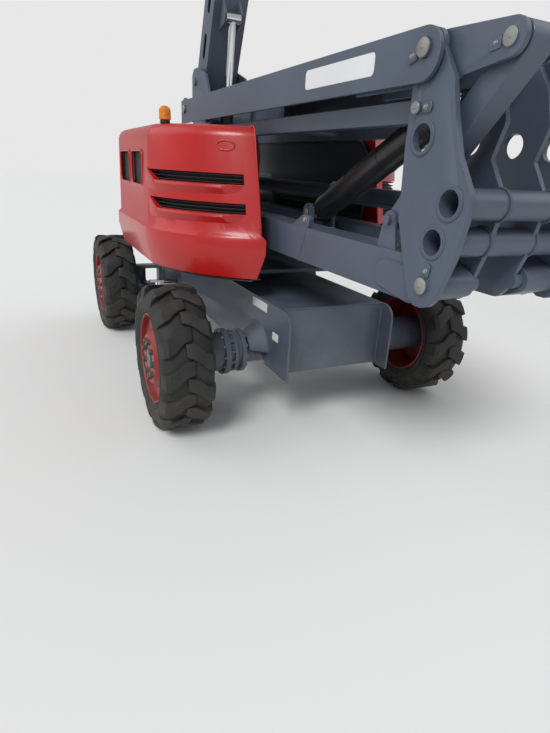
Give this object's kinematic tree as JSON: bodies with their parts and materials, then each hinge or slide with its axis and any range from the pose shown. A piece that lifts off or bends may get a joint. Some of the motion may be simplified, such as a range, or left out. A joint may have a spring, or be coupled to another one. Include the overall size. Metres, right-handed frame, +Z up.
{
  "type": "articulating boom lift",
  "caption": "Articulating boom lift: a wheeled chassis with a turntable, a folding riser with level links, a raised telescopic boom, a jib and a railed platform.",
  "frame": {"origin": "on the ground under the turret's turning axis, which stands midway between the axles", "axes": "+X the way the boom points, toward the fixed axle; +Y to the left; +Z up"},
  "size_m": [5.9829, 2.494, 8.5312],
  "materials": {
    "frame_paint": "satin blue-grey paint",
    "hood_red": "gloss red",
    "rim_red": "gloss red paint",
    "tyre_black": "matte",
    "bulkhead_grey": "satin dark grey paint",
    "cylinder_black": "satin black paint",
    "rod_chrome": "polished",
    "cast_grey": "satin blue-grey paint",
    "beacon_amber": "clear amber",
    "block_grey": "satin dark grey",
    "box_black": "matte black"
  },
  "bodies": {
    "chassis": {"chassis_frame": "frame_paint", "axle_fixed": "frame_paint", "axle_steer": "frame_paint"},
    "knuckle_left": {"knuckle_left": "frame_paint"},
    "knuckle_right": {"knuckle_right": "frame_paint"},
    "steer_rod": {"steer_rod": "rod_chrome"},
    "wheel_front_left": {"tyre_front_left": "tyre_black", "rim_front_left": "rim_red"},
    "wheel_front_right": {"tyre_front_right": "tyre_black", "rim_front_right": "rim_red"},
    "wheel_rear_left": {"tyre_rear_left": "tyre_black", "rim_rear_left": "rim_red"},
    "wheel_rear_right": {"tyre_rear_right": "tyre_black", "rim_rear_right": "rim_red"},
    "turret": {"turret_frame": "frame_paint", "counterweight": "cast_grey", "bulkhead_left": "bulkhead_grey", "bulkhead_right": "bulkhead_grey", "engine_block": "block_grey", "tank_block": "block_grey"},
    "hood_left": {"hood_left": "hood_red"},
    "hood_right": {"hood_right": "hood_red", "beacon": "beacon_amber"},
    "lower_riser": {"lower_riser": "frame_paint"},
    "lower_link": {"lower_link": "frame_paint"},
    "mid_upright": {"mid_upright": "frame_paint"},
    "upper_riser": {"upper_riser": "frame_paint"},
    "upper_link": {"upper_link": "frame_paint"},
    "timing_link": {"timing_link": "frame_paint"},
    "riser_barrel": {"riser_barrel": "cylinder_black"},
    "riser_rod": {"riser_rod": "rod_chrome"},
    "upper_upright": {"upper_upright": "frame_paint"},
    "main_boom": {"main_boom": "frame_paint"},
    "boom_barrel": {"boom_barrel": "cylinder_black"},
    "boom_rod": {"boom_rod": "rod_chrome"},
    "fly_boom": {"fly_boom": "frame_paint"},
    "level_knuckle": {"level_knuckle": "frame_paint"},
    "jib_arm": {"jib_arm": "frame_paint"},
    "jib_link": {"jib_link": "frame_paint"},
    "jib_barrel": {"jib_barrel": "cylinder_black"},
    "jib_rod": {"jib_rod": "rod_chrome"},
    "platform_head": {"platform_head": "frame_paint"},
    "platform": {"platform_basket": "frame_paint", "control_box": "box_black"},
    "gate": {"platform_gate": "frame_paint"}
  },
  "joints": [
    {"name": "slew", "type": "hinge", "parent": "chassis", "child": "turret", "pos_m": [0, 0, 1], "axis": [0, 0, 1], "continuous": true},
    {"name": "wheel_front_left", "type": "hinge", "parent": "chassis", "child": "wheel_front_left", "pos_m": [1.245, 1.0675, 0.505], "axis": [0, 1, 0], "continuous": true},
    {"name": "wheel_front_right", "type": "hinge", "parent": "chassis", "child": "wheel_front_right", "pos_m": [1.245, -1.0675, 0.505], "axis": [0, 1, 0], "continuous": true},
    {"name": "steer", "type": "hinge", "parent": "chassis", "child": "knuckle_left", "pos_m": [-1.245, 0.79, 0.505], "axis": [0, 0, 1], "range_deg": [-30, 30]},
    {"name": "steer_right", "type": "hinge", "parent": "chassis", "child": "knuckle_right", "pos_m": [-1.245, -0.79, 0.505], "axis": [0, 0, 1], "range_deg": [-30, 30]},
    {"name": "steer_rod", "type": "slide", "parent": "chassis", "child": "steer_rod", "axis": [0, 1, 0], "range_m": [-0.1, 0.1]},
    {"name": "wheel_rear_left", "type": "hinge", "parent": "knuckle_left", "child": "wheel_rear_left", "pos_m": [-1.245, 1.0675, 0.505], "axis": [0, 1, 0], "continuous": true},
    {"name": "wheel_rear_right", "type": "hinge", "parent": "knuckle_right", "child": "wheel_rear_right", "pos_m": [-1.245, -1.0675, 0.505], "axis": [0, 1, 0], "continuous": true},
    {"name": "hood_left", "type": "hinge", "parent": "turret", "child": "hood_left", "pos_m": [0, 0.444, 2.024], "axis": [1, 0, 0], "range_deg": [0, 65]},
    {"name": "hood_right", "type": "hinge", "parent": "turret", "child": "hood_right", "pos_m": [0, -0.444, 2.024], "axis": [-1, 0, 0], "range_deg": [0, 65]},
    {"name": "riser_lift", "type": "hinge", "parent": "turret", "child": "lower_riser", "pos_m": [-0.402, 0, 1.347], "axis": [0, -1, 0], "range_deg": [0, 62]},
    {"name": "lower_link", "type": "hinge", "parent": "turret", "child": "lower_link", "pos_m": [-0.553, 0, 1.628], "axis": [0, -1, 0], "range_deg": [0, 62]},
    {"name": "mid_upright", "type": "hinge", "parent": "lower_riser", "child": "mid_upright", "pos_m": [2.911, 0, 1.347], "axis": [0, -1, 0], "range_deg": [-62, 0]},
    {"name": "upper_riser", "type": "hinge", "parent": "mid_upright", "child": "upper_riser", "pos_m": [2.746, 0, 2.243], "axis": [0, -1, 0], "range_deg": [-62, 0]},
    {"name": "upper_link", "type": "hinge", "parent": "mid_upright", "child": "upper_link", "pos_m": [2.72, 0, 2.038], "axis": [0, -1, 0], "range_deg": [-62, 0]},
    {"name": "upper_upright", "type": "hinge", "parent": "upper_riser", "child": "upper_upright", "pos_m": [-0.62, 0, 2.243], "axis": [0, -1, 0], "range_deg": [0, 62]},
    {"name": "timing_link", "type": "hinge", "parent": "upper_riser", "child": "timing_link", "pos_m": [3.1, 0, 2.232], "axis": [0, -1, 0], "range_deg": [0, 72.23]},
    {"name": "riser_barrel", "type": "hinge", "parent": "lower_riser", "child": "riser_barrel", "pos_m": [1.3, 0, 1.5], "axis": [0, -1, 0], "range_deg": [-16.18, 0]},
    {"name": "riser_rod", "type": "slide", "parent": "riser_barrel", "child": "riser_rod", "axis": [0.8895, 0, 0.457], "range_m": [0, 0.7722]},
    {"name": "boom_lift", "type": "hinge", "parent": "upper_upright", "child": "main_boom", "pos_m": [-0.98, 0, 2.53], "axis": [0, -1, 0], "range_deg": [-67, 8]},
    {"name": "boom_barrel", "type": "hinge", "parent": "upper_upright", "child": "boom_barrel", "pos_m": [-0.75, 0, 1.45], "axis": [0, -1, 0], "range_deg": [-18.63, 2.23]},
    {"name": "boom_rod", "type": "slide", "parent": "boom_barrel", "child": "boom_rod", "axis": [0.136, 0, 0.9907], "range_m": [-0.611, 0.073]},
    {"name": "fly_slide", "type": "slide", "parent": "main_boom", "child": "fly_boom", "axis": [0.3907, 0, 0.9205], "range_m": [0, 3.6]},
    {"name": "level_knuckle", "type": "hinge", "parent": "fly_boom", "child": "level_knuckle", "pos_m": [1.21591, 0, 7.70324], "axis": [0, -1, 0], "range_deg": [-8, 67]},
    {"name": "jib_lift", "type": "hinge", "parent": "level_knuckle", "child": "jib_arm", "pos_m": [1.42591, 0, 7.72324], "axis": [0, -1, 0], "range_deg": [-65, 70]},
    {"name": "jib_link", "type": "hinge", "parent": "level_knuckle", "child": "jib_link", "pos_m": [1.42591, 0.108, 7.89324], "axis": [0, -1, 0], "range_deg": [-65, 70]},
    {"name": "jib_barrel", "type": "hinge", "parent": "level_knuckle", "child": "jib_barrel", "pos_m": [1.40591, 0, 7.50624], "axis": [0, -1, 0], "range_deg": [-60.66, 65.33]},
    {"name": "jib_rod", "type": "slide", "parent": "jib_barrel", "child": "jib_rod", "axis": [0.9908, 0, 0.1354], "range_m": [-0.199, 0.2143]},
    {"name": "platform_head", "type": "hinge", "parent": "jib_arm", "child": "platform_head", "pos_m": [2.92591, 0, 7.72324], "axis": [0, -1, 0], "range_deg": [-70, 65]},
    {"name": "platform_turn", "type": "hinge", "parent": "platform_head", "child": "platform", "pos_m": [3.11591, 0, 7.40324], "axis": [0, 0, 1], "range_deg": [-90, 90]},
    {"name": "gate", "type": "hinge", "parent": "platform", "child": "gate", "pos_m": [3.39791, 1.195, 7.93324], "axis": [0, 0, -1], "range_deg": [0, 90]}
  ],
  "couplings": [
    {"joint": "steer_right", "follows": "steer", "ratio": 1},
    {"joint": "steer_rod", "follows": "steer", "m_per_rad": 0.191},
    {"joint": "lower_link", "follows": "riser_lift", "ratio": 1},
    {"joint": "mid_upright", "follows": "riser_lift", "ratio": -1},
    {"joint": "upper_riser", "follows": "riser_lift", "ratio": -1},
    {"joint": "upper_link", "follows": "riser_lift", "ratio": -1},
    {"joint": "upper_upright", "follows": "riser_lift", "ratio": 1},
    {"joint": "timing_link", "follows": "riser_lift", "ratio": 1.165},
    {"joint": "riser_barrel", "follows": "riser_lift", "ratio": -0.26102},
    {"joint": "riser_rod", "follows": "riser_lift", "m_per_rad": 0.71358},
    {"joint": "boom_barrel", "follows": "boom_lift", "ratio": 0.27808},
    {"joint": "boom_rod", "follows": "boom_lift", "m_per_rad": 0.52248},
    {"joint": "level_knuckle", "follows": "boom_lift", "ratio": -1},
    {"joint": "jib_link", "follows": "jib_lift", "ratio": 1},
    {"joint": "jib_barrel", "follows": "jib_lift", "ratio": 0.93322},
    {"joint": "jib_rod", "follows": "jib_lift", "m_per_rad": 0.17537},
    {"joint": "platform_head", "follows": "jib_lift", "ratio": -1}
  ]
}
